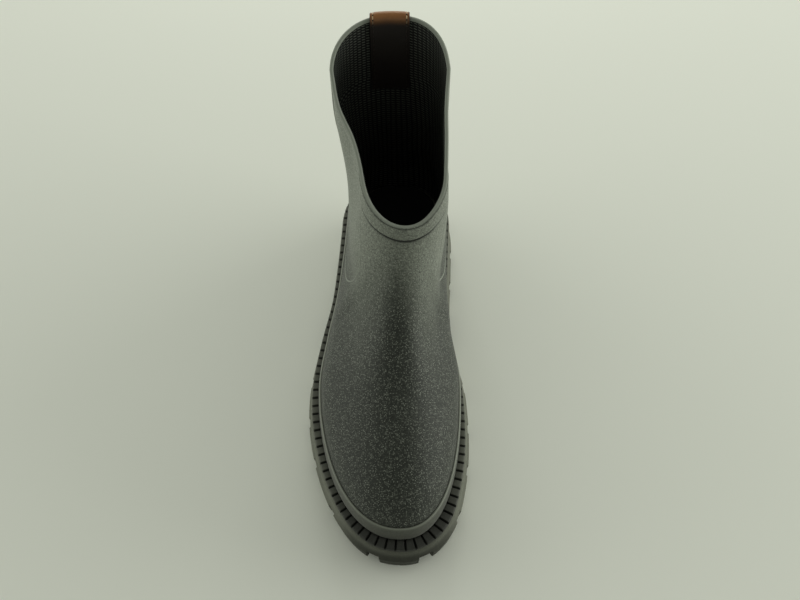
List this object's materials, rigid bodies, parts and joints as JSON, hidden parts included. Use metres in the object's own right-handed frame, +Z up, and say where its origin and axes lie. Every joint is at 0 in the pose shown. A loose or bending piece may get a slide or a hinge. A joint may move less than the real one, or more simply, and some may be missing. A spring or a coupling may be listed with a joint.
{
  "type": "rubber ankle boot",
  "caption": "Right rubber ankle boot with a slanted collar, sunk side gores, ribbed welt, thick lugged sole and a leather pull tab folded over the back of the collar.",
  "frame": {"origin": "on the floor under the middle of the outsole's plan outline", "axes": "+Z up, toe along -Y, heel along +Y, inner side of the foot along +X"},
  "size_m": [0.109, 0.2888, 0.2083],
  "materials": {
    "sole_rubber": "satin moulded grey",
    "welt_rubber": "matt dark grey, ribbed",
    "upper_rubber": "matt grey with a fine light fleck",
    "foxing_rubber": "smooth grey",
    "footbed_fabric": "black textile",
    "tab_leather": "smooth tan, stitched"
  },
  "bodies": {
    "root": {"outsole": "sole_rubber", "welt": "welt_rubber", "upper": "upper_rubber", "foxing": "foxing_rubber", "insole": "footbed_fabric", "pull_tab": "tab_leather"}
  },
  "joints": []
}
